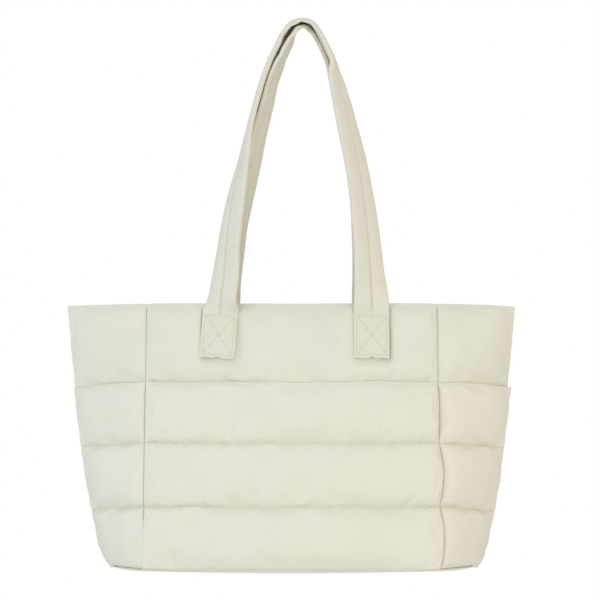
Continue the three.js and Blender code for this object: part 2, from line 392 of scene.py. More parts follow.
@dataclass(frozen=True)
class WovenNylon:
    """Plain-woven nylon with a matt calendered face.

    It shows no single thread from afar: a broad soft highlight, a faint sheen where it turns away, and small
    puckers where a seam gathers it. The real threads lie 0.25 mm apart, and are drawn coarser so as to show.
    """

    name: str
    hollow: str
    crown: str
    roughness: float = 0.6
    sheen: float = 0.12
    ior: float = 1.5
    thread_spacing: float = 0.0008
    thread_relief: float = 0.00002
    stitch_pitch: float = 0.0033
    pucker_relief: float = 0.00015
    pucker_reach: float = 3.2
    drift: float = 9.0
    drift_scale: float = 55.0
    mottle_size: float = 0.045

    def build(self) -> bpy.types.Material:
        """Makes the material.

        Returns:
            The material.
        """
        material = new_material(self.name)
        tree = material.node_tree
        cloth = add_node(tree, "ShaderNodeUVMap", uv_map=CLOTH_MAP).outputs["UV"]
        axes = add_node(tree, "ShaderNodeSeparateXYZ", {0: cloth}).outputs
        seam = add_node(tree, "ShaderNodeAttribute", attribute_name=SEAM_ATTRIBUTE).outputs["Fac"]
        mottle = add_ramp(tree, add_noise(tree, 1 / self.mottle_size, 3.0), (0.3, 0.7, 0.0, 1.0))

        per_thread = 2 * math.pi / self.thread_spacing
        turns = [add_math(tree, "MULTIPLY", axes[axis], per_thread) for axis in ("X", "Y")]
        weave = add_math(tree, "MULTIPLY", *[add_math(tree, "SINE", turn) for turn in turns])
        relief = {"Strength": 0.6, "Distance": self.thread_relief, "Height": weave}
        woven = add_node(tree, "ShaderNodeBump", relief).outputs["Normal"]

        gather = add_ramp(tree, seam, (0.0, self.pucker_reach, 1.0, 0.0), "SMOOTHSTEP")
        pleats = add_math(tree, "MULTIPLY", axes["X"], 2 * math.pi / self.stitch_pitch)
        wander = add_math(tree, "MULTIPLY_ADD", add_noise(tree, self.drift_scale, 2.0), self.drift, pleats)
        pucker = add_math(tree, "MULTIPLY", add_math(tree, "SINE", wander), gather)
        relief = {"Strength": 0.8, "Distance": self.pucker_relief, "Height": pucker, "Normal": woven}
        normal = add_node(tree, "ShaderNodeBump", relief).outputs["Normal"]

        surface = {
            "Base Color": add_tint(tree, mottle, self.hollow, self.crown),
            "Roughness": self.roughness,
            "IOR": self.ior,
            "Sheen Weight": self.sheen,
            "Sheen Roughness": 0.5,
            "Normal": normal,
        }
        add_surface(tree, surface)
        return material


@dataclass(frozen=True)
class PolyesterThread:
    """Spun polyester sewing thread, dyed to match the cloth's cream: matt, with a faint sheen. Its darker
    olive colour is painted shade of the stitch holes and seam lines it lies in.
    """

    name: str
    # hollow and crown are both drawn darker than the cloth: painted shade of the stitch holes, not the
    # thread's own colour
    hollow: str
    crown: str
    roughness: float = 0.7
    sheen: float = 0.2
    ior: float = 1.5
    ply_length: float = 0.0009

    def build(self) -> bpy.types.Material:
        """Makes the material.

        Returns:
            The material.
        """
        material = new_material(self.name)
        tree = material.node_tree
        twist = add_noise(tree, 1 / self.ply_length, 1.0)
        colour = add_tint(tree, twist, self.hollow, self.crown)
        surface = {"Base Color": colour, "Roughness": self.roughness, "IOR": self.ior}
        add_surface(tree, {**surface, "Sheen Weight": self.sheen})
        return material


def cloth_piece(
    name: str,
    points: np.ndarray,
    faces: list[tuple[int, ...]],
    cloth: np.ndarray,
    seam: np.ndarray,
    material: bpy.types.Material,
) -> bpy.types.Object:
    """Makes a closed, smooth piece of cloth that is subdivided once.

    Args:
        name: The piece's name.
        points: Its points, in metres in the part's frame.
        faces: The numbers of each face's points.
        cloth: Where each point lies on the flat cloth, in millimetres.
        seam: How far each point is from a stitched seam, in millimetres.
        material: The cloth.

    Returns:
        The piece.
    """
    mesh = bpy.data.meshes.new(name)
    mesh.from_pydata(points.tolist(), [], faces)
    mesh.uv_layers.new(name=CLOTH_MAP)
    loops = np.zeros(len(mesh.loops), int)
    mesh.loops.foreach_get("vertex_index", loops)
    mesh.uv_layers[CLOTH_MAP].data.foreach_set("uv", (cloth[loops] / 1000).ravel())
    mesh.attributes.new(SEAM_ATTRIBUTE, "FLOAT", "POINT").data.foreach_set("value", seam)
    mesh.polygons.foreach_set("use_smooth", np.ones(len(mesh.polygons), bool))
    face_outwards(mesh)
    mesh.materials.append(material)
    piece = bpy.data.objects.new(name, mesh)
    bpy.context.scene.collection.objects.link(piece)
    finer = piece.modifiers.new("finer", "SUBSURF")
    finer.levels = finer.render_levels = 1
    return piece


@dataclass
class ClothSheets:
    """Two matching grids of points, the outside and the inside of a closed piece of sewn cloth.

    Rows run up the piece and columns run across it. Rim rows close the top from outside to inside, and the
    other edges close with a narrow strip.
    """

    outer: np.ndarray
    inner: np.ndarray
    cloth: np.ndarray
    seam: np.ndarray
    rim: list[np.ndarray] = field(default_factory=list)

    def piece(self, name: str, place: Place, material: bpy.types.Material) -> bpy.types.Object:
        """Makes one closed mesh of the sheets and subdivides it once.

        Args:
            name: The piece's name.
            place: Where the bag's frame lies.
            material: The cloth.

        Returns:
            The piece.
        """
        rows, columns = self.outer.shape[:2]
        layers = [*self.outer, *self.rim, *self.inner[::-1]]
        extra = len(self.rim)
        cloth = np.concatenate([self.cloth, *[self.cloth[-1:]] * extra, self.cloth[::-1]]).reshape(-1, 2)
        seam = np.concatenate([self.seam, np.full((rows + extra, columns), FAR)]).ravel()
        corner = np.arange(len(layers) * columns).reshape(-1, columns).tolist()
        faces = []
        for row, after in zip(corner, corner[1:] + corner[:1]):
            faces += [(row[i], row[i + 1], after[i + 1], after[i]) for i in range(columns - 1)]
        for column, forward in ((0, 1), (columns - 1, -1)):
            edge = [row[column] for row in corner]
            across = edge[::-1]
            strips = [(edge[i], edge[i + 1], across[i + 1], across[i]) for i in range(rows - 1)]
            strips.append(tuple(edge[rows - 1 : rows + extra + 1]))
            faces += [strip[::forward] for strip in strips]
        return cloth_piece(name, place.metres(np.concatenate(layers)), faces, cloth, seam, material)


def face_outwards(mesh: bpy.types.Mesh) -> None:
    """Turns a closed mesh's faces outwards.

    Args:
        mesh: The mesh.
    """
    work = bmesh.new()
    work.from_mesh(mesh)
    bmesh.ops.recalc_face_normals(work, faces=work.faces)
    if work.calc_volume(signed=True) < 0:
        bmesh.ops.reverse_faces(work, faces=work.faces)
    work.to_mesh(mesh)
    work.free()


@dataclass(frozen=True)
class Billow:
    """How the padding blows out a stitched sheet of cloth, by cloth simulation."""

    pressure: float = 1.2
    slack: float = 0.02
    frames: int = 22
    reach: float = 3.0
    mass: float = 0.25
    tension: float = 12.0
    bending: float = 0.6

    def inflate(self, sheet: np.ndarray, held: np.ndarray, place: Place) -> np.ndarray:
        """Blows the sheet out.

        Args:
            sheet: Rows and columns of points, facing out of the bag as they are listed.
            held: Which of them are stitched down.
            place: Where the bag's frame lies.

        Returns:
            The points after the padding has filled the cloth.
        """
        rows, columns = sheet.shape[:2]
        corner = np.arange(rows * columns).reshape(rows, columns)
        quads = np.stack([corner[:-1, :-1], corner[:-1, 1:], corner[1:, 1:], corner[1:, :-1]], axis=-1)
        mesh = bpy.data.meshes.new("billow")
        mesh.from_pydata(place.metres(sheet.reshape(-1, 3)).tolist(), [], quads.reshape(-1, 4).tolist())
        cloth_object = bpy.data.objects.new("billow", mesh)
        scene = bpy.context.scene
        scene.collection.objects.link(cloth_object)
        stitched = cloth_object.vertex_groups.new(name="stitched")
        stitched.add([int(i) for i in np.flatnonzero(held.ravel())], 1.0, "REPLACE")
        cloth = cloth_object.modifiers.new("cloth", "CLOTH")
        settings = cloth.settings
        settings.quality = 5
        settings.mass = self.mass
        settings.tension_stiffness = settings.compression_stiffness = self.tension
        settings.shear_stiffness = self.tension / 3
        settings.bending_stiffness = self.bending
        settings.vertex_group_mass = stitched.name
        settings.use_pressure = True
        settings.uniform_pressure_force = self.pressure
        settings.shrink_min = -self.slack
        settings.effector_weights.gravity = 0.0
        cloth.collision_settings.use_collision = False
        cloth.point_cache.frame_start = 1
        cloth.point_cache.frame_end = self.frames
        for frame in range(1, self.frames + 1):
            scene.frame_set(frame)
        settled = cloth_object.evaluated_get(bpy.context.evaluated_depsgraph_get())
        points = np.zeros(rows * columns * 3)
        settled.data.vertices.foreach_get("co", points)
        scene.frame_set(1)
        bpy.data.objects.remove(cloth_object)
        bpy.data.meshes.remove(mesh)
        moved = place.millimetres(points.reshape(rows, columns, 3)) - sheet
        length = np.maximum(np.linalg.norm(moved, axis=-1, keepdims=True), 1e-9)
        LOG.info("    moved %.1f mm at most, %.2f mm on average", length.max(), length.mean())
        return sheet + moved / length * self.reach * np.tanh(length / self.reach)


@dataclass(frozen=True)
class Row:
    """A row of padding, from the seam below it to its own top.

    top is its height, puff what the padding adds at its crown, droop how far its top seam sinks towards a
    gusset's fold, steps how many grid lines it has, and bulge how far its end leans out over the right seam.
    left_fill and right_fill are how much of the padding reaches the seams at its ends, foot_fill how much
    reaches the seam below it, and foot_bend how tightly the cloth bends in there.
    """

    top: float
    puff: float
    droop: float = 0.0
    steps: int = 19
    bulge: float = 0.0
    left_fill: float = 0.0
    right_fill: float = 0.0
    foot_fill: float = 0.05
    foot_bend: float = 2.4


class TopEdge(Enum):
    """What a row's top is, and how full the padding still is there."""

    SEAM = 0.05
    MOUTH_RIM = 0.16
    POCKET_RIM = 0.25


@dataclass(frozen=True)
class Tuck:
    """A short crease where the padding is caught: its place, length, breadth, slope in degrees and depth."""

    x: float
    z: float
    length: float
    breadth: float
    slope: float
    depth: float

    def press(self, x: np.ndarray, z: np.ndarray) -> np.ndarray:
        """Works out how deep the crease presses.

        Args:
            x: Places across the bag.
            z: Heights.

        Returns:
            The depths there.
        """
        turn = math.radians(self.slope)
        along = (x - self.x) * math.cos(turn) + (z - self.z) * math.sin(turn)
        aside = (z - self.z) * math.cos(turn) - (x - self.x) * math.sin(turn)
        return self.depth * np.exp(-((along / self.length) ** 2) - (aside / self.breadth) ** 2)


@dataclass
class QuiltedWall:
    """One padded wall, sewn across in rows, with its outside blown out and a plain inside."""

    name: str
    side: Side
    rows: tuple[Row, ...]
    rim: TopEdge
    foot: float
    out_seam: float
    in_seam: float
    lining_puff: float
    fold_fill: float = 0.1
    columns: int = 71
    patches: tuple[float, ...] = ()
    tucks: tuple[Tuck, ...] = ()
    undercut: float = 0.0
    foot_lift: tuple[float, float] = (0.0, 0.0)
    fold_drop: float = 0.0
    gusset_edge: float = 11.0
    slot: str = "shell"
    quilt_lines: list[np.ndarray] = field(default_factory=list)

    seam_lap = 0.1
    full_lap = 1.0
    seam_sink = 1.0
    seam_breadth = 1.7
    panel_edges = (30, 60)
    wave = 0.45
    patch_press = 0.42
    patch_half = 19.3
    patch_foot = 219.4
    patch_soft = 3.5
    crown = 0.42
    thread_lift = 0.1
    fold_zone = 0.45
    lean_from = 0.72
    lean_over = 0.28

    def across_lines(self) -> np.ndarray:
        """Places the columns, closer together at the seams and at a gusset's fold.

        Returns:
            Their places, from -1 to 1.
        """
        if self.side.value[1] == "panel":
            return graded(self.columns, 0.8) * 2 - 1
        half = graded((self.columns + 1) // 2, 0.7)
        return np.concatenate([-half[:0:-1], half])

    def seam_heights(self, across: np.ndarray) -> np.ndarray:
        """Works out the height of the foot and of each row's top, along the wall.

        Args:
            across: The columns.

        Returns:
            One line of heights for each seam.
        """
        away_from_fold = np.abs(across) if self.side.value[1] == "gusset" else np.ones_like(across)
        left_lift, right_lift = self.foot_lift
        ends = np.where(across < 0, left_lift * np.abs(across) ** 1.8, right_lift * np.abs(across) ** 5)
        lines = [self.foot + ends - self.fold_drop * (1 - smooth_step(np.abs(across) / 0.3))]
        start = {Side.FRONT: 0.0, Side.RIGHT: 2.1, Side.BACK: 4.0, Side.LEFT: 5.2}[self.side]
        for number, row in enumerate(self.rows):
            rim = number == len(self.rows) - 1
            long_wave = np.sin(across * 7.3 + start + 1.9 * number)
            ripple = long_wave + 0.6 * np.sin(across * 17.1 + start * 2 - number)
            wave = 0.0 if rim and self.rim is TopEdge.MOUTH_RIM else self.wave * ripple
            lines.append(row.top + wave - row.droop * (1 - away_from_fold))
        return np.array(lines)

    def fill(self, across: np.ndarray, share: np.ndarray, row: Row, top: float) -> np.ndarray:
        """How full a row of padding is.

        Args:
            across: The places between the wall's first and last side seam.
            share: The shares of the way up the row.
            row: The row.
            top: How full it still is at its top.

        Returns:
            The thickness that the padding adds there.
        """
        up = self.fill_up(share, row.foot_fill, top, row.foot_bend)
        kept = np.where(across < 0, row.left_fill, row.right_fill)
        if self.side.value[1] == "panel":
            edge = np.where(across < 0, *self.panel_edges)
            return row.puff * up * (kept + (1 - kept) * np.sqrt(1 - np.abs(across) ** edge))
        seam = kept + (1 - kept) * np.sqrt(1 - np.abs(across) ** self.gusset_edge)
        away = smooth_step(np.abs(across) / self.fold_zone)
        return row.puff * (self.fold_fill * (1 - away) + up * seam * away)

    @classmethod
    def fill_up(cls, share: np.ndarray, foot: float, top: float, bend: float = 2.4) -> np.ndarray:
        """How full a row is from its lower seam to its top.

        Args:
            share: The share of the way up.
            foot: How full it is at its lower seam.
            top: How full it still is at its top.
            bend: How tightly it bends in to its lower seam.

        Returns:
            The fill, with a low crown over a steep underside.
        """
        under = np.clip((cls.crown - share) / cls.crown, 0, 1)
        over = np.clip((share - cls.crown) / (1 - cls.crown), 0, 1)
        lower = np.sqrt(np.clip(1 - (1 - foot**2) * under**bend, 0, 1))
        upper = np.sqrt(np.clip(1 - (1 - top**2) * over**9.0, 0, 1))
        return np.where(share < cls.crown, lower, upper)

    def lean(self, across: np.ndarray, share: np.ndarray, row: Row) -> np.ndarray:
        """Works out how far a row's end leans sideways over the seam between front and right.

        Args:
            across: The places between the wall's side seams.
            share: The shares of the way up the row.
            row: The row.

        Returns:
            The lean at each point.
        """
        if row.bulge == 0.0:
            return np.zeros_like(across)
        near = (across + 1) / 2 if self.side is Side.FRONT else (1 - across) / 2
        at_seam = smooth_step((near - self.lean_from) / self.lean_over)
        return row.bulge * np.sin(np.pi * share) ** 0.8 * at_seam

    def pressed(self, x: np.ndarray, z: np.ndarray) -> np.ndarray:
        """Works out how much of the padding is left under the straps' ends.

        Args:
            x: Places across the bag.
            z: Heights.

        Returns:
            The share that is left, 1 away from the straps.
        """
        left = np.ones_like(x)
        for middle in self.patches:
            aside = smooth_step((self.patch_half + self.patch_soft - np.abs(x - middle)) / self.patch_soft)
            up = smooth_step((z - self.patch_foot + self.patch_soft) / self.patch_soft)
            left = left - (1 - self.patch_press) * aside * up
        return left

    def lay_rows(self, columns: np.ndarray, lines: np.ndarray) -> tuple[dict[str, np.ndarray], list[int]]:
        """Lays out the wall's grid, one row of padding after another.

        Args:
            columns: The places of its columns.
            lines: The height of each seam along them.

        Returns:
            What holds at each point of the grid, by name, and the numbers of its sewn lines.
        """
        grids = {"across": [], "z": [], "fill": [], "lean": [], "seam": [], "tuck": [], "lap": []}
        seam_rows = [0]
        for number, row in enumerate(self.rows):
            last = number == len(self.rows) - 1
            shares = graded(row.steps + 1, 0.8)[: None if last else -1]
            share, across = np.meshgrid(shares, columns, indexing="ij")
            low, high = lines[number][None, :], lines[number + 1][None, :]
            far = np.full_like(share, FAR)
            top_fill = self.rim.value if last else TopEdge.SEAM.value
            fill = self.fill(across, share, row, top_fill)
            kept = np.where(across < 0, max(row.left_fill, 0.0), max(row.right_fill, 0.0))
            up = self.fill_up(share, row.foot_fill, top_fill, row.foot_bend)
            to_foot = share if number and self.rows[number - 1].puff else far
            gap = (high - low) * np.minimum(to_foot, far if last else 1 - share)
            undercut = self.undercut if number == 0 else 0.0
            grids["across"].append(across)
            grids["z"].append(low + (high - low) * share)
            grids["fill"].append(fill)
            grids["lean"].append(self.lean(across, share, row))
            grids["seam"].append(gap if row.puff else far)
            grids["tuck"].append(undercut * fill * (1 - share) ** 2)
            grids["lap"].append(self.full_lap * kept**2 * up)
            seam_rows.append(seam_rows[-1] + len(shares) - int(last))
        return {key: np.concatenate(value) for key, value in grids.items()}, seam_rows

    def build(self, form: BagForm, cloth: bpy.types.Material) -> bpy.types.Object:
        """Makes the wall.

        Args:
            form: The bag's stitched form.
            cloth: The material.

        Returns:
            The piece.
        """
        columns = self.across_lines()
        lines = self.seam_heights(columns)
        grid, seam_rows = self.lay_rows(columns, lines)
        stitched, outward = form.stitched(self.side, grid["across"], grid["z"])
        left = self.pressed(stitched[..., 0], grid["z"])
        facing_front = (stitched[..., 1] < 0).astype(float)
        dents = sum((tuck.press(stitched[..., 0], grid["z"]) for tuck in self.tucks), np.zeros_like(left))
        sunk = self.seam_sink * bell(grid["seam"], self.seam_breadth) + dents * facing_front
        outer = stitched + outward * (self.out_seam + grid["fill"] * left - sunk)[..., None]
        outer[..., 0] += grid["lean"]
        outer[..., 2] -= grid["tuck"]
        held = np.zeros(grid["z"].shape, bool)
        held[:, [0, -1]] = True
        held[seam_rows] = True
        if self.side.value[1] == "gusset":
            held[:, self.columns // 2] = True
        puffed = [number for number, row in enumerate(self.rows) if row.puff]
        start = seam_rows[puffed[0]]
        settled = outer.copy()
        settled[start:] = Billow().inflate(outer[start:], held[start:], form.place)
        self.keep_under_patches(settled, outer)
        lining_fill = self.fill_up(self.row_share(grid["z"], lines), 0.0, self.rim.value)
        lining = self.in_seam + self.lining_puff * lining_fill
        inner = stitched - outward * (lining * np.sqrt(1 - np.abs(grid["across"]) ** 30 * 0.9))[..., None]
        inner[..., 0] += grid["lean"]
        sign, kind = self.side.value
        lap = self.seam_lap + grid["lap"] * np.exp(-dents * facing_front)
        for sheet in (settled, inner):
            sheet[:, 0, 0] -= sign * lap[:, 0]
            sheet[:, -1, 0] += sign * lap[:, -1] * (1 if kind == "panel" else -1)
        for row in (row for row in seam_rows[1:-1] if row > start):
            line = 0.75 * settled[row] + 0.125 * (settled[row - 1] + settled[row + 1])
            self.quilt_lines.append(line + outward[row] * self.thread_lift)
        width = np.linalg.norm(np.diff(stitched[len(stitched) // 2], axis=0), axis=-1)
        along = np.concatenate([[0.0], np.cumsum(width)])
        cloth_map = np.stack([np.broadcast_to(along, grid["z"].shape), grid["z"]], axis=-1)
        rim = self.rounded_rim(settled[-1], inner[-1])
        piece = ClothSheets(settled, inner, cloth_map, grid["seam"], rim).piece(self.name, form.place, cloth)
        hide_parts(self.name)
        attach(piece, BODY)
        return piece

    @staticmethod
    def row_share(z: np.ndarray, lines: np.ndarray) -> np.ndarray:
        """Works out how far up its own row each point lies.

        Args:
            z: The points' heights.
            lines: The height of each seam along the columns.

        Returns:
            The shares of the way up.
        """
        share = np.zeros_like(z)
        for low, high in zip(lines[:-1], lines[1:]):
            inside = (z >= low) & (z <= high)
            share = np.where(inside, (z - low) / (high - low), share)
        return share

    def keep_under_patches(self, settled: np.ndarray, outer: np.ndarray) -> None:
        """Holds the blown cloth back where a strap's end is sewn over it.

        Args:
            settled: The blown cloth, which is changed.
            outer: The cloth as it was before.
        """
        for middle in self.patches:
            aside = np.abs(outer[..., 0] - middle) < self.patch_half + 2
            under = aside & (outer[..., 2] > self.patch_foot - 2)
            settled[under] = outer[under]

    @staticmethod
    def rounded_rim(outside: np.ndarray, inside: np.ndarray, steps: int = 5) -> list[np.ndarray]:
        """Rolls the cloth over the top from the outside to the inside.

        Args:
            outside: The last outer row.
            inside: The last inner row.
            steps: How many rows the roll has.

        Returns:
            The roll's rows.
        """
        middle, half = (outside + inside) / 2, (outside - inside) / 2
        rise = np.zeros_like(half)
        rise[:, 2] = np.linalg.norm(half, axis=1) * 0.9
        angles = np.linspace(0, np.pi, steps + 2)[1:-1]
        return [middle + half * math.cos(angle) + rise * math.sin(angle) for angle in angles]


@dataclass
class BasePad:
    """The padded base: a six-sided sheet with a rounded edge and a flat underside."""

    name: str = "base_panel"
    top: float = 4.8
    edge_out: float = 4.4
    fold_edge_out: float = 2.0
    rings: int = 20
    under_round: float = 4.0
    over_round: float = 0.9
    corner_lift: float = 1.9

    def outline(self, form: BagForm) -> np.ndarray:
        """Runs once round the base's edge.

        Args:
            form: The bag's stitched form.

        Returns:
            The edge's points, the first one again at the end.
        """
        outline = []
        across = graded(41, 0.5)[:-1] * 2 - 1
        for side in (Side.FRONT, Side.RIGHT, Side.BACK, Side.LEFT):
            points, outward = form.stitched(side, across, np.zeros_like(across))
            near_seam = smooth_step((np.abs(across) - 0.25) / 0.3) if side.value[1] == "gusset" else 1.0
            reach = self.fold_edge_out + (self.edge_out - self.fold_edge_out) * near_seam
            outline.append(points + outward * np.broadcast_to(reach, across.shape)[:, None])
        return np.concatenate(outline + [outline[0][:1]])

    def sheets(self, form: BagForm) -> tuple[np.ndarray, np.ndarray]:
        """Lays the underside and the top in rings from the middle out to the edge.

        Args:
            form: The bag's stitched form.

        Returns:
            The two sheets.
        """
        edge = self.outline(form)
        shares = 1 - graded(self.rings, 0.3) ** 2.2
        share = np.broadcast_to(shares[::-1][:, None], (self.rings, len(edge)))
        inward = (1 - share) * form.base_half_depth
        under = edge[None] * np.stack([share, share, np.zeros_like(share)], -1)
        over = under.copy()
        x_share = np.abs(under[..., 0]) / form.panel_half
        y_share = np.abs(under[..., 1]) / form.base_half_depth
        corner = self.corner_lift * np.clip(x_share, 0, 1) ** 2 * np.clip(y_share, 0, 1) ** 3
        middle = (self.top + corner) / 2
        under[..., 2] = corner + (middle - corner) * self.rounded(inward, self.under_round)
        over[..., 2] = self.top - (self.top - middle) * self.rounded(inward, self.over_round)
        return under, over

    def build(self, form: BagForm, cloth: bpy.types.Material) -> bpy.types.Object:
        """Makes the base.

        Args:
            form: The bag's stitched form.
            cloth: The material.

        Returns:
            The piece.
        """
        under, over = self.sheets(form)
        ring = under.shape[1] - 1
        layers = [*under[1:, :-1], *over[-2:0:-1, :-1]]
        points = np.concatenate([*layers, [[0, 0, 0.0], [0, 0, self.top]]])
        beside = [(i, (i + 1) % ring) for i in range(ring)]
        last = (len(layers) - 1) * ring
        faces = []
        for low in range(0, last, ring):
            high = low + ring
            faces += [(low + i, low + j, high + j, high + i) for i, j in beside]
        bottom, top = len(points) - 2, len(points) - 1
        for i, j in beside:
            faces += [(i, j, bottom), (last + i, last + j, top)]
        no_seam = np.full(len(points), FAR)
        piece = cloth_piece(self.name, form.place.metres(points), faces, points[:, :2], no_seam, cloth)
        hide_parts(self.name)
        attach(piece, BODY)
        return piece

    @staticmethod
    def rounded(inward: np.ndarray, radius: float) -> np.ndarray:
        """How far a face has turned in at its edge, from 0 to 1 at the very edge."""
        return 1 - np.sqrt(1 - np.clip(1 - inward / radius, 0, 1) ** 2)


@dataclass(frozen=True)
class Knot:
    """A place on a strap's way from the mouth to its arch.

    rise is a share of the drop. left and right are each leg's distance from the middle of the arch, as a
    share of that of its sewn end. The turns are how far the band has turned from facing its panel's way, in
    degrees.
    """

    rise: float
    left: float
    right: float
    left_turn: float
    right_turn: float


@dataclass
class Strap:
    """A padded band folded from cloth, stitched down its middle, with two flat ends sewn to a panel."""

    name: str
    front: bool
    knots: tuple[Knot, ...]
    arch_z: float
    arch_y: float
    arch_turn: float
    foot: float = 221.8
    box_top: float = 268.5
    width: float = 36.0
    mouth_widths: tuple[float, float] = (34.4, 37.5)
    end_width: float = 37.5
    thickness: float = 6.6
    arch_thickness: float = 5.4
    end_thickness: float = 3.8
    spacing: float = 160.0
    shift: float = 4.5
    arch_x: float = 11.8
    lean: tuple[float, float] = (4.6, 0.2)
    groove: float = 1.9
    pinch: float = 0.0
    creases: tuple[tuple[float, float], ...] = ()
    arch_reach: float = 30.0
    curl: float = 1.4
    far_curl: float = 0.0
    skew: float = 0.0
    leg_gap: float = 0.4
    steps: int = 240
    outer: np.ndarray | None = None
    along: np.ndarray | None = None

    end_step = 1.3
    past_box = 17.0  # how far the close rows go on above a box
    flat_over = 10.0
    spread_over = 60.0
    crease_half = 1.5
    pinch_at = 316.0
    pinch_half = 17.0
    groove_half = 0.05  # as a share of half the width
    lobe_dip = 0.16  # how much thinner the band is at its middle and edges than between them
    edge_shares = (0.38, 0.62)  # its thickness at the very edge, and what the rounding adds
    curl_from = 0.35  # where the far edge starts to curl, as a share of half the width
    box_side_inset = 3.3
    box_foot_inset = 4.2
    box_depth = 0.75
    box_breadth = 0.9
    notch = 1.5
    notch_half = 0.14
    columns = np.array(
        [-1, -0.985, -0.95, -0.9, -0.84, -0.74, -0.58, -0.42, -0.28, -0.17, -0.1, -0.055, -0.025, 0]
        + [0.025, 0.055, 0.1, 0.17, 0.28, 0.42, 0.58, 0.74, 0.84, 0.9, 0.95, 0.985, 1]
    )

    @property
    def sewn(self) -> float:
        """How far the stitched boxes' tops lie above the band's ends."""
        return self.box_top - self.foot

    def leg_x(self, side: int) -> float:
        """The middle of a sewn end."""
        return self.shift + side * self.spacing / 2

    def face(self, form: BagForm, wall: QuiltedWall, x: float, z: float) -> float:
        """How far a sewn end's underside lies from the bag's middle plane.

        Args:
            form: The bag's stitched form.
            wall: The panel that the end is sewn to.
            x: The end's middle.
            z: The height.

        Returns:
            The distance.
        """
        height = min(z, form.height - 2)
        depth = float(form.half_depth(height))
        bow = form.panel_bow * float(form.level(height, "bow")) * (1 - (x / form.panel_half) ** 2)
        low, row = wall.rows[-2].top, wall.rows[-1]
        share = np.array(np.clip((height - low) / (row.top - low), 0, 1))
        fill = float(wall.fill_up(share, row.foot_fill, wall.rim.value)) * row.puff * wall.patch_press
        return depth + bow + wall.out_seam + fill + self.leg_gap

    def leg(self, form: BagForm, wall: QuiltedWall, side: int) -> list[tuple[float, ...]]:
        """Lays out one leg from its foot up.

        Args:
            form: The bag's stitched form.
            wall: The panel that it is sewn to.
            side: -1 for the left leg and 1 for the right one.

        Returns:
            x, the distance from the bag's middle plane, z and the turn, at each place.
        """
        mouth = form.height + 1
        shares = [(knot.rise, knot.left if side < 0 else knot.right) for knot in self.knots]
        turns = [knot.left_turn if side < 0 else knot.right_turn for knot in self.knots]
        reach = self.leg_x(side) - self.arch_x
        lean = self.lean[0] if side < 0 else self.lean[1]
        foot_x = self.arch_x + reach * shares[0][1]
        rows = []
        for z in np.linspace(self.foot, mouth, 7)[:-1]:
            x = foot_x - lean * (mouth - z) / (mouth - self.foot)
            rows.append((x, self.face(form, wall, x, z) + self.thickness / 2, z, 0.0))
        mouth_y = rows[-1][1] + 0.5
        for (rise, share), turn in zip(shares, turns):
            y = self.arch_y + (mouth_y - self.arch_y) * (1 - rise) ** 1.35
            y += side * self.skew * min(share / 0.2, 1) * float(smooth_step(rise))
            rows.append((self.arch_x + reach * share, y, mouth + (self.arch_z - mouth) * rise, turn))
        return rows

    def course(self, form: BagForm, wall: QuiltedWall) -> tuple[np.ndarray, ...]:
        """Draws the band's middle line from its left foot over the arch to its right foot.

        Args:
            form: The bag's stitched form.
            wall: The panel that it is sewn to.

        Returns:
            Each row's place along the band, its place past the arch's top, its point and its turn in radians.
        """
        arch = (self.arch_x, self.arch_y, self.arch_z, self.arch_turn)
        course = np.array([*self.leg(form, wall, -1), arch, *self.leg(form, wall, 1)[::-1]])
        chord = np.concatenate([[0.0], np.cumsum(np.linalg.norm(np.diff(course[:, :3], axis=0), axis=1))])
        ends = np.arange(0, self.sewn + self.past_box, self.end_step)
        free = np.linspace(ends[-1], chord[-1] - ends[-1], self.steps)
        along = np.concatenate([ends[:-1], free, chord[-1] - ends[:-1][::-1]])
        middle = np.stack([smooth_table(along, chord, course[:, i]) for i in range(3)], -1)
        middle[:, 1] *= -1
        turn = np.radians(smooth_table(along, chord, course[:, 3]))
        return along, along - chord[len(chord) // 2], middle, turn

    def widths(self, form: BagForm, along: np.ndarray, from_end: np.ndarray) -> tuple[np.ndarray, np.ndarray]:
        """Works out how wide the band is.

        Args:
            form: The bag's stitched form.
            along: The rows' places along the band.
            from_end: Their distances from its nearer end.

        Returns:
            The free band's width at each row, and the width with the sewn ends.
        """
        mouth_width = np.where(along < along[-1] / 2, *self.mouth_widths)
        spread = smooth_step((from_end - self.sewn) / self.spread_over)
        free = mouth_width + (self.width - mouth_width) * spread
        return free, np.where(from_end < form.height - self.foot - 0.8, self.end_width, free)

    def half_thickness(self, past_top: np.ndarray, flat: np.ndarray, band: np.ndarray) -> np.ndarray:
        """Works out half the band's thickness, before its grooves are pressed in.

        Args:
            past_top: The rows' places past the arch's top.
            flat: How far each row is pressed flat as a sewn end.
            band: Each point's distance from the middle line, as a share of half the free width.

        Returns:
            The half thickness at each point.
        """
        share = self.columns[None, :]
        arched = bell(past_top, self.arch_reach)
        thick = self.thickness + (self.arch_thickness - self.thickness) * arched
        for place, depth in self.creases:
            thick = thick - depth * bell(past_top - place, self.crease_half)
        lobes = 1 - self.lobe_dip * (2 * np.abs(share) - 1) ** 2
        edge, rest = self.edge_shares
        padded = thick[:, None] / 2 * (edge + rest * np.clip(1 - band**8, 0, 1) ** 0.5) * lobes
        padded = np.where(band > 1.01, 0.4 * self.end_thickness, padded)
        pressed = self.end_thickness / 2 * (0.5 + 0.5 * np.clip(1 - np.abs(share) ** 9, 0, 1) ** 0.5)
        return padded + (pressed - padded) * flat[:, None]

    def middle_groove(self, along: np.ndarray, flat: np.ndarray) -> np.ndarray:
        """Works out how deep the stitched groove down the middle is.

        Args:
            along: The rows' places along the band.
            flat: How far each row is pressed flat as a sewn end.

        Returns:
            The depth at each point.
        """
        share = self.columns[None, :]
        pinched = self.pinch * bell(along[-1] - along - self.pinch_at, self.pinch_half)
        breadth = self.groove_half * (1 + 1.5 * pinched[:, None])
        return self.groove * bell(share, breadth) * ((1 + pinched) * (1 - flat))[:, None]

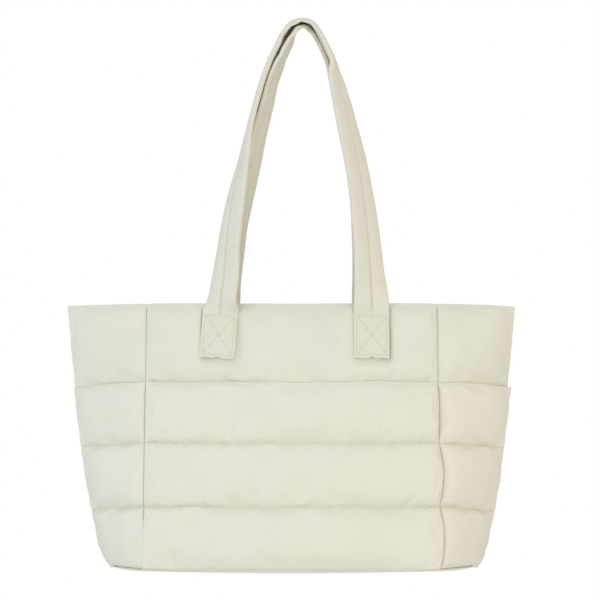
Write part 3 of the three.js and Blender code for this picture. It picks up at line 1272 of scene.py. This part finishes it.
    def curled(self, along: np.ndarray, past_top: np.ndarray, turn: np.ndarray) -> np.ndarray:
        """Works out how far the band's edges curl under and buckle.

        Args:
            along: The rows' places along the band.
            past_top: Their places past the arch's top.
            turn: How far the band has turned there, in radians.

        Returns:
            How far each point is bent inwards.
        """
        share = self.columns[None, :]
        near = share if self.front else -share
        far_curl = (self.far_curl * (0.2 + 0.8 * smooth_step((30 - past_top) / 60)))[:, None]
        edge = self.curl * share**2 + far_curl * np.clip(-near - self.curl_from, 0, 1) ** 2 / 0.42
        curl = (np.sin(turn) ** 2)[:, None] * edge
        return curl + self.ripple(along)[:, None] * share**2 * np.sign(share)

    def ripple(self, along: np.ndarray) -> np.ndarray:
        """Works out how the edges buckle, most where the band bends over at the top.

        Args:
            along: The rows' places along the band.

        Returns:
            The buckles' height at each row.
        """
        near_arch = bell(along - along[-1] / 2 + 12, 42)
        seed = 0.0 if self.front else 2.6
        buckle = np.sin(along / 2.3 + seed) * 0.45 + np.sin(along / 4.9 + 2 * seed) * 0.8
        return buckle * (0.07 + 0.9 * near_arch)

    def build(self, form: BagForm, wall: QuiltedWall, cloth: bpy.types.Material) -> bpy.types.Object:
        """Makes the strap.

        Args:
            form: The bag's stitched form.
            wall: The panel that it is sewn to.
            cloth: The material.

        Returns:
            The piece.
        """
        along, past_top, middle, turn = self.course(form, wall)
        tangent = np.gradient(middle, along, axis=0)
        in_plane = np.stack([tangent[:, 2], np.zeros(len(along)), -tangent[:, 0]], -1)
        in_plane /= np.linalg.norm(in_plane, axis=1, keepdims=True)
        forward = np.array([0.0, -1.0, 0.0])
        across = in_plane * np.cos(turn)[:, None] + forward * np.sin(turn)[:, None]
        facing = forward * np.cos(turn)[:, None] - in_plane * np.sin(turn)[:, None]
        from_end = np.minimum(along, along[-1] - along)
        flat = 1 - smooth_step((from_end - self.sewn) / self.flat_over)
        free_width, width = self.widths(form, along, from_end)
        share = self.columns[None, :]
        band = np.abs(share) * (width / free_width)[:, None]
        half = self.half_thickness(past_top, flat, band)
        groove = self.middle_groove(along, flat)
        curl = self.curled(along, past_top, turn)
        up = np.broadcast_to(from_end[:, None], half.shape)
        box = self.box_grooves(share * width[:, None] / 2, up)
        margin = np.where(band > 1.01, (self.thickness - self.end_thickness) / 2, 0.0)
        sunk = np.maximum((self.thickness - self.end_thickness) / 2 * flat[:, None], margin)
        lift_out, lift_in = half - groove - box - curl - sunk, -half + 0.4 * groove - curl - sunk
        notched = self.notch * bell(share, self.notch_half) + 0.5 * np.sin(9 * share + 1)
        hem = np.exp(-from_end / 4)[:, None] * notched
        hem = np.where(along[:, None] < along[-1] / 2, hem, -hem)
        side = across[:, None] * (share * width[:, None] / 2)[..., None] + tangent[:, None] * hem[..., None]
        outer = middle[:, None] + side + facing[:, None] * lift_out[..., None]
        inner = middle[:, None] + side + facing[:, None] * lift_in[..., None]
        if not self.front:
            outer[..., 1] *= -1
            inner[..., 1] *= -1
        self.outer, self.along = outer, along
        flat_across = np.broadcast_to(share * self.width / 2, half.shape)
        cloth_map = np.stack([np.broadcast_to(along[:, None], half.shape), flat_across], -1)
        seam = np.abs(share) * self.width / 2 + FAR * flat[:, None]
        piece = ClothSheets(outer, inner, cloth_map, seam).piece(self.name, form.place, cloth)
        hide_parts(self.name)
        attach(piece, BODY)
        return piece

    def box_grooves(self, across: np.ndarray, up: np.ndarray) -> np.ndarray:
        """Presses the sewn end down along its crossed box of stitches.

        Args:
            across: Millimetres from the band's middle line.
            up: Millimetres from the band's foot.

        Returns:
            How deep each point is pressed.
        """
        half = self.end_width / 2 - self.box_side_inset
        low, high = self.box_foot_inset, self.sewn
        inside = (np.abs(across) <= half + 1) & (up >= low - 1) & (up <= high + 1)
        centre = (low + high) / 2
        slope = (high - low) / 2 / half
        diagonal = np.abs(np.abs(up - centre) - slope * np.abs(across)) / math.hypot(1, slope)
        edges = np.minimum(np.abs(np.abs(across) - half), np.minimum(np.abs(up - low), np.abs(up - high)))
        nearest = np.where(inside, np.minimum(diagonal, edges), FAR)
        return self.box_depth * bell(nearest, self.box_breadth)

    def on_face(self, across: np.ndarray, up: np.ndarray, right: bool) -> np.ndarray:
        """Finds points on the outside of a sewn end.

        Args:
            across: Millimetres from the band's middle line.
            up: Millimetres from the foot.
            right: Whether it is the right end.

        Returns:
            The points.
        """
        rows = self.outer[::-1] if right else self.outer
        place = self.along[-1] - self.along[::-1] if right else self.along
        row = np.clip(np.searchsorted(place, up) - 1, 0, len(place) - 2)
        t = ((up - place[row]) / (place[row + 1] - place[row]))[:, None]
        share = across / (self.end_width / 2)
        column = np.clip(np.searchsorted(self.columns, share) - 1, 0, len(self.columns) - 2)
        s = ((share - self.columns[column]) / (self.columns[column + 1] - self.columns[column]))[:, None]
        low = rows[row, column] * (1 - s) + rows[row, column + 1] * s
        high = rows[row + 1, column] * (1 - s) + rows[row + 1, column + 1] * s
        return low * (1 - t) + high * t

    def seam_line(self) -> np.ndarray:
        """Finds the line of stitches down the middle of the free band.

        Returns:
            The line's points.
        """
        free = (self.along > self.sewn + 2) & (self.along < self.along[-1] - self.sewn - 2)
        return self.outer[free, len(self.columns) // 2]

    def box_lines(self) -> list[np.ndarray]:
        """Finds the lines of stitches of the crossed boxes on both ends.

        Returns:
            The lines, six for each box.
        """
        lines = []
        half, low, high = self.end_width / 2 - self.box_side_inset, self.box_foot_inset, self.sewn
        corners = [(-half, low), (half, low), (half, high), (-half, high)]
        runs = [(0, 1), (1, 2), (2, 3), (3, 0), (0, 2), (1, 3)]
        for right in (False, True):
            for first, last in runs:
                t = np.linspace(0, 1, 24)
                across = corners[first][0] + (corners[last][0] - corners[first][0]) * t
                up = corners[first][1] + (corners[last][1] - corners[first][1]) * t
                lines.append(self.on_face(across, up, right))
        return lines


@dataclass
class StitchRun:
    """Lockstitches laid along lines: each is a short rounded bar of thread, sunk into the cloth."""

    name: str
    slot: str
    pitch: float = 3.3
    stitch: float = 2.3
    radius: float = 0.3

    def tree(self) -> bpy.types.NodeTree:
        """Builds the node tree that lays the stitches.

        Returns:
            The tree, with inputs for its sizes and its thread.
        """
        tree = bpy.data.node_groups.new(self.name, "GeometryNodeTree")
        face = tree.interface
        face.new_socket("Geometry", in_out="INPUT", socket_type="NodeSocketGeometry")
        for name in ("Pitch", "Stitch length", "Thread radius"):
            face.new_socket(name, in_out="INPUT", socket_type="NodeSocketFloat")
        face.new_socket("Thread", in_out="INPUT", socket_type="NodeSocketMaterial")
        face.new_socket("Geometry", in_out="OUTPUT", socket_type="NodeSocketGeometry")
        given = add_node(tree, "NodeGroupInput").outputs
        curve = add_node(tree, "GeometryNodeMeshToCurve", {"Mesh": given["Geometry"]}).outputs["Curve"]
        spacing = {"Curve": curve, "Length": given["Pitch"]}
        evenly = add_node(tree, "GeometryNodeResampleCurve", spacing, mode="LENGTH").outputs["Curve"]
        bar_shape = {"Segments": 6, "Rings": 5, "Radius": 0.5}
        bar = add_node(tree, "GeometryNodeMeshUVSphere", bar_shape).outputs["Mesh"]
        aim = {"Vector": add_node(tree, "GeometryNodeInputTangent").outputs["Tangent"]}
        turned = add_node(tree, "FunctionNodeAlignRotationToVector", aim, axis="Z").outputs["Rotation"]
        thick = add_math(tree, "MULTIPLY", given["Thread radius"], 2.0)
        sides = {"X": thick, "Y": thick, "Z": given["Stitch length"]}
        size = add_node(tree, "ShaderNodeCombineXYZ", sides).outputs[0]
        laying = {"Points": evenly, "Instance": bar, "Rotation": turned, "Scale": size}
        laid = add_node(tree, "GeometryNodeInstanceOnPoints", laying).outputs["Instances"]
        real = add_node(tree, "GeometryNodeRealizeInstances", {"Geometry": laid}).outputs["Geometry"]
        smooth = add_node(tree, "GeometryNodeSetShadeSmooth", {"Geometry": real}).outputs["Geometry"]
        dressing = {"Geometry": smooth, "Material": given["Thread"]}
        dressed = add_node(tree, "GeometryNodeSetMaterial", dressing).outputs["Geometry"]
        add_node(tree, "NodeGroupOutput", {"Geometry": dressed})
        return tree

    def build(self, lines: list[np.ndarray], place: Place, thread: bpy.types.Material) -> bpy.types.Object:
        """Lays the stitches and makes them one plain mesh.

        Args:
            lines: Lines of points, in millimetres.
            place: Where the bag's frame lies.
            thread: The material.

        Returns:
            The piece.
        """
        points, edges = [], []
        for line in lines:
            start = len(points)
            points += place.metres(line).tolist()
            edges += [(start + i, start + i + 1) for i in range(len(line) - 1)]
        path = bpy.data.meshes.new(self.name + "_path")
        path.from_pydata(points, edges, [])
        carrier = bpy.data.objects.new(self.name + "_path", path)
        bpy.context.scene.collection.objects.link(carrier)
        layer = carrier.modifiers.new("stitches", "NODES")
        layer.node_group = self.tree()
        values = {
            "Pitch": self.pitch / 1000,
            "Stitch length": self.stitch / 1000,
            "Thread radius": self.radius / 1000,
            "Thread": thread,
        }
        for item in layer.node_group.interface.items_tree:
            if item.in_out == "INPUT" and item.name in values:
                layer[item.identifier] = values[item.name]
        made = carrier.evaluated_get(bpy.context.evaluated_depsgraph_get())
        mesh = bpy.data.meshes.new_from_object(made)
        mesh.name = self.name
        carrier.modifiers.remove(layer)
        bpy.data.objects.remove(carrier)
        piece = bpy.data.objects.new(self.name, mesh)
        bpy.context.scene.collection.objects.link(piece)
        if not mesh.materials:
            mesh.materials.append(thread)
        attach(piece, BODY)
        return piece


@dataclass
class ToteBag:
    """The whole bag."""

    form: BagForm
    shell: bpy.types.Material
    pocket: bpy.types.Material
    strap: bpy.types.Material
    thread: bpy.types.Material

    wall_half = 1.2
    pocket_gap = 1.0
    pocket_half = 1.2
    puff = 7.5
    row_tops = (68.0, 134.0, 196.0)
    band_seam = 197.5
    body_foot = 5.4
    strap_rise = 306.4
    arch_gap = 5.7
    sewn_ends = (4.5 - 80.0, 4.5 + 79.9)

    front_knots = (
        Knot(0.000, 0.984, 0.990, 24, 8),
        Knot(0.080, 0.947, 0.969, 35, 26),
        Knot(0.180, 0.920, 0.945, 46, 36),
        Knot(0.285, 0.876, 0.906, 51, 41),
        Knot(0.393, 0.817, 0.852, 60, 47),
        Knot(0.500, 0.738, 0.775, 74, 50),
        Knot(0.608, 0.662, 0.675, 86, 54),
        Knot(0.715, 0.560, 0.575, 91, 60),
        Knot(0.805, 0.463, 0.488, 92, 71),
        Knot(0.850, 0.401, 0.454, 92, 86),
        Knot(0.895, 0.329, 0.361, 92, 91),
        Knot(0.945, 0.245, 0.252, 91, 91),
        Knot(0.985, 0.147, 0.150, 85, 86),
    )
    back_knots = (
        Knot(0.000, 0.980, 0.985, 12, 8),
        Knot(0.080, 0.945, 0.962, 36, 30),
        Knot(0.180, 0.877, 0.932, 50, 45),
        Knot(0.285, 0.816, 0.900, 56, 52),
        Knot(0.393, 0.725, 0.850, 60, 60),
        Knot(0.500, 0.631, 0.770, 64, 70),
        Knot(0.608, 0.548, 0.655, 67, 80),
        Knot(0.715, 0.447, 0.530, 71, 88),
        Knot(0.805, 0.367, 0.434, 75, 92),
        Knot(0.850, 0.304, 0.408, 77, 94),
        Knot(0.895, 0.235, 0.346, 82, 95),
        Knot(0.945, 0.150, 0.248, 86, 96),
        Knot(0.985, 0.086, 0.150, 95, 99),
    )

    band_tucks = (
        Tuck(-158.0, 200.5, 5.0, 1.6, -28.0, 2.4),
        Tuck(-146.0, 199.5, 4.0, 2.0, -15.0, 1.6),
        Tuck(144.0, 201.0, 5.0, 2.2, 20.0, 1.8),
        Tuck(-166.0, 203.0, 14.0, 3.0, -12.0, 0.8),
    )
    pocket_tucks = (
        Tuck(-121.0, 70.0, 4.0, 1.6, -20.0, 1.8),
        Tuck(-91.0, 70.5, 5.0, 1.8, -16.0, 1.8),
        Tuck(-60.0, 137.0, 6.0, 2.0, -14.0, 0.8),
        Tuck(20.0, 71.0, 6.0, 2.0, 12.0, 0.9),
        Tuck(92.0, 137.5, 5.0, 2.0, 16.0, 1.1),
        Tuck(118.0, 71.0, 5.0, 2.0, 18.0, 1.3),
        Tuck(-158.0, 137.0, 6.0, 2.2, 24.0, 1.6),
        Tuck(-160.0, 112.0, 9.0, 4.0, 62.0, 1.2),
        Tuck(-152.8, 60.0, 9.0, 1.9, 90.0, 5.0),
        Tuck(-155.5, 52.0, 3.0, 2.2, 10.0, 2.6),
        Tuck(152.0, 137.0, 7.0, 2.2, -20.0, 1.4),
        Tuck(154.0, 70.0, 7.0, 2.4, -20.0, 1.6),
        Tuck(-186.0, 158.0, 20.0, 5.0, -35.0, 0.9),
        Tuck(-176.0, 96.0, 18.0, 5.0, 30.0, 0.8),
    )

    def body_wall(
        self, name: str, side: Side, band: Row, lower: tuple[Row, ...], **more: object
    ) -> QuiltedWall:
        """Describes a body wall.

        Args:
            name: Its name.
            side: Its side of the bag.
            band: The row under the mouth.
            lower: The rows below it.
            **more: Sizes of the wall's own.

        Returns:
            The wall.
        """
        return QuiltedWall(
            name=name,
            side=side,
            rows=(*lower, band),
            rim=TopEdge.MOUTH_RIM,
            foot=self.body_foot,
            out_seam=self.wall_half,
            in_seam=self.wall_half,
            lining_puff=2.0,
            **more,
        )

    def pocket_wall(self, name: str, side: Side, rows: tuple[Row, ...], **more: object) -> QuiltedWall:
        """Describes a pocket that lies on the body.

        Args:
            name: Its name.
            side: Its side of the bag.
            rows: Its rows.
            **more: Sizes of the pocket's own.

        Returns:
            The pocket.
        """
        lies_on = self.wall_half + self.pocket_gap
        return QuiltedWall(
            name=name,
            side=side,
            rows=rows,
            rim=TopEdge.POCKET_RIM,
            out_seam=lies_on + 2 * self.pocket_half,
            in_seam=-lies_on,
            lining_puff=0.0,
            tucks=self.pocket_tucks,
            slot="pocket",
            **more,
        )

    def walls(self) -> list[QuiltedWall]:
        """Lists the walls, from the body out.

        Returns:
            The walls.
        """
        low, middle, high = self.row_tops
        hidden = tuple(Row(top, 0.0, steps=4) for top in (low, middle, self.band_seam))
        quilted = tuple(Row(top, self.puff) for top in (low, middle, self.band_seam))
        band = Row(self.form.height - 1.5, self.puff, steps=22, foot_fill=0.2)
        panel_band = replace(band, left_fill=0.5, right_fill=0.45)
        right_band, left_band = replace(band, left_fill=0.25), replace(band, right_fill=0.35)
        front_rows = (
            Row(low, self.puff, bulge=4.0, left_fill=0.94, right_fill=0.3, foot_bend=12.0),
            Row(middle, self.puff, bulge=4.5, left_fill=0.5, right_fill=-0.1),
            Row(high, self.puff, bulge=1.5, left_fill=0.4, right_fill=-0.25),
        )
        right_rows = (
            Row(low, self.puff, droop=8.0, bulge=4.0, left_fill=0.1, foot_bend=12.0),
            Row(middle, self.puff, droop=5.5, bulge=4.5, left_fill=-0.1),
            Row(high, self.puff, droop=3.0, bulge=1.5, left_fill=-0.15),
        )
        left_rows = (
            Row(low, self.puff, droop=6.0, right_fill=0.94, foot_bend=12.0),
            Row(middle, self.puff, droop=4.2, right_fill=0.25),
            Row(high, self.puff, droop=4.2, right_fill=0.15),
        )
        panel = {"band": panel_band, "patches": self.sewn_ends}
        covered = {"lower": hidden, "tucks": self.band_tucks}
        gusset = {**covered, "columns": 47}
        front = {"foot": 2.6, "foot_lift": (2.1, 1.7), "undercut": 0.3, "columns": 121}
        side = {"foot": 4.7, "fold_drop": 4.0, "columns": 47}
        return [
            self.body_wall("front_panel", Side.FRONT, columns=111, **covered, **panel),
            self.body_wall("back_panel", Side.BACK, lower=quilted, **panel),
            self.body_wall("right_gusset", Side.RIGHT, band=right_band, fold_fill=-0.12, **gusset),
            self.body_wall("left_gusset", Side.LEFT, band=left_band, **gusset),
            self.pocket_wall("front_pocket", Side.FRONT, front_rows, **front),
            self.pocket_wall("right_pocket", Side.RIGHT, right_rows, gusset_edge=8.0, fold_fill=0.02, **side),
            self.pocket_wall("left_pocket", Side.LEFT, left_rows, fold_fill=-0.15, **side),
        ]

    def straps(self) -> list[Strap]:
        """Lists the straps, the front one first.

        Returns:
            The straps.
        """
        top = self.form.height + self.strap_rise
        front = Strap(
            name="front_strap",
            front=True,
            knots=self.front_knots,
            arch_z=top,
            arch_y=4.0,
            arch_turn=80.0,
            far_curl=5.0,
            pinch=0.8,
            creases=((-24.0, 1.4), (-3.0, 1.8), (1.5, 1.2)),
        )
        back = Strap(
            name="back_strap",
            front=False,
            knots=self.back_knots,
            arch_z=top - self.arch_gap,
            arch_y=2.0,
            arch_turn=100.0,
            arch_thickness=5.0,
            arch_reach=75.0,
            far_curl=-2.0,
            skew=12.0,
            creases=((-2.5, 1.6), (2.0, 1.6)),
        )
        return [front, back]

    def build(self) -> None:
        """Makes every piece and reports it."""
        walls = {wall.name: wall for wall in self.walls()}
        for name, wall in walls.items():
            wall.build(self.form, self.pocket if wall.slot == "pocket" else self.shell)
            LOG.info("%s: %d rows", name, len(wall.rows))
        BasePad().build(self.form, self.shell)
        LOG.info("base_panel")
        for strap, panel in zip(self.straps(), ("front_panel", "back_panel")):
            strap.build(self.form, walls[panel], self.strap)
            seam = StitchRun(strap.name + "_seam", "strap", stitch=2.9, radius=0.2)
            seam.build([strap.seam_line()], self.form.place, self.thread)
            boxes = StitchRun(strap.name + "_boxes", "strap", pitch=3.4, stitch=2.0, radius=0.38)
            boxes.build(strap.box_lines(), self.form.place, self.thread)
            LOG.info("%s: %.0f mm from end to end", strap.name, strap.along[-1])
        lines = [line for wall in walls.values() for line in wall.quilt_lines]
        StitchRun("quilt_stitches", "pocket").build(lines, self.form.place, self.thread)
        LOG.info("quilt_stitches: %d lines", len(lines))


@dataclass(frozen=True)
class Lamp:
    """A square softbox that faces the middle of the bag. Its place from there and its side are in metres."""

    name: str
    place: tuple[float, float, float]
    side: float
    power: float
    colour: str


@dataclass
class Studio:
    """A pale floor, soft lamps and a camera at the height of the bag's body."""

    form: BagForm
    camera_distance: float = 2400.0
    camera_x: float = 8.56
    camera_z: float = 159.4
    aim_z: float = 285.7
    frame_width: float = 642.0
    sensor: float = 36.0
    floor_drop: float = 0.32
    floor_ends: tuple[float, float] = (-3.5, 2.4)
    floor_half: float = 3.0
    ambient: float = 0.722
    lamps: tuple[Lamp, ...] = (
        Lamp("key", (-1.9, -1.7, 0.9), 1.5, 10.8, "#bce0ff"),
        Lamp("fill", (2.2, -1.5, 0.3), 1.5, 5.5, "#ffd08f"),
        Lamp("top", (0.0, -0.9, 2.1), 1.5, 3.9, "#fffaf0"),
        Lamp("low", (0.2, -1.7, -0.28), 0.9, 5.7, "#fff6ea"),
        Lamp("side", (-2.3, 0.2, -0.1), 1.0, 3.0, "#e6f2ff"),
    )

    def build(self) -> None:
        """Makes the camera, the lamps, the floor and the even light round them."""
        scene = bpy.context.scene
        place = self.form.place
        centre = Vector(place.metres(np.array([self.camera_x, 0.0, self.aim_z])))
        camera = bpy.data.objects.new("camera", bpy.data.cameras.new("camera"))
        camera.location = place.metres(np.array([self.camera_x, -self.camera_distance, self.camera_z]))
        camera.data.sensor_width = self.sensor
        camera.data.lens = self.sensor * (centre - camera.location).length * 1000 / self.frame_width
        camera.rotation_euler = (centre - camera.location).to_track_quat("-Z", "Y").to_euler()
        scene.collection.objects.link(camera)
        scene.camera = camera
        for lamp in self.lamps:
            light = bpy.data.lights.new(lamp.name, "AREA")
            light.size = lamp.side
            light.energy = lamp.power
            light.color = linear_rgb(lamp.colour)[:3]
            holder = bpy.data.objects.new(lamp.name, light)
            holder.location = centre + Vector(lamp.place)
            holder.rotation_euler = (-Vector(lamp.place)).to_track_quat("-Z", "Y").to_euler()
            scene.collection.objects.link(holder)
        self.floor(scene)
        self.surroundings(scene)
        scene.view_settings.view_transform = "Standard"

    def floor(self, scene: bpy.types.Scene) -> None:
        """Lays the pale floor under the hanging bag.

        Args:
            scene: The scene that gets it.
        """
        z = self.form.place.base_z - self.floor_drop
        near, far = self.floor_ends
        half = self.floor_half
        corners = [(-half, near, z), (half, near, z), (half, far, z), (-half, far, z)]
        mesh = bpy.data.meshes.new("floor")
        mesh.from_pydata(corners, [], [(0, 1, 2, 3)])
        paint = bpy.data.materials.new("matt_paint")
        paint.use_nodes = True
        shader = paint.node_tree.nodes["Principled BSDF"]
        shader.inputs["Base Color"].default_value = linear_rgb("#f4f4f2")
        shader.inputs["Roughness"].default_value = 1.0
        mesh.materials.append(paint)
        floor = bpy.data.objects.new("floor", mesh)
        scene.collection.objects.link(floor)

    def surroundings(self, scene: bpy.types.Scene) -> None:
        """Surrounds the bag with even light that is seen as a white backdrop.

        Args:
            scene: The scene that gets it.
        """
        world = bpy.data.worlds.new("even_light")
        world.use_nodes = True
        tree = world.node_tree
        tree.nodes.clear()
        white = linear_rgb("#ffffff")
        even = add_node(tree, "ShaderNodeBackground", {"Color": white, "Strength": self.ambient})
        backdrop = add_node(tree, "ShaderNodeBackground", {"Color": white, "Strength": 1.0})
        seen = add_node(tree, "ShaderNodeLightPath").outputs["Is Camera Ray"]
        both = add_node(tree, "ShaderNodeMixShader", {0: seen, 1: even.outputs[0], 2: backdrop.outputs[0]})
        add_node(tree, "ShaderNodeOutputWorld", {"Surface": both.outputs[0]})
        scene.world = world


def main() -> None:
    """Builds the bag and its studio."""
    logging.basicConfig(level=logging.INFO, format="%(message)s")
    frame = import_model()
    LOG.info("%d nodes in the frame", len(frame["nodes"]))
    form = BagForm.of_frame()
    Studio(form).build()
    bag = ToteBag(
        form=form,
        shell=WovenNylon("woven_nylon_shell", "#dddccd", "#e1e0d2").build(),
        pocket=WovenNylon("woven_nylon_pocket", "#dfddce", "#e3e1d3").build(),
        strap=WovenNylon("woven_nylon_strap", "#dbd8c9", "#dfdcce", mottle_size=0.02).build(),
        # the thread's darker olive colours are painted shade of the stitch holes and seam lines; the real
        # thread is the cloth's cream
        thread=PolyesterThread("polyester_thread", "#ada78e", "#bdb79f").build(),
    )
    bag.build()


if __name__ == "__main__":
    main()
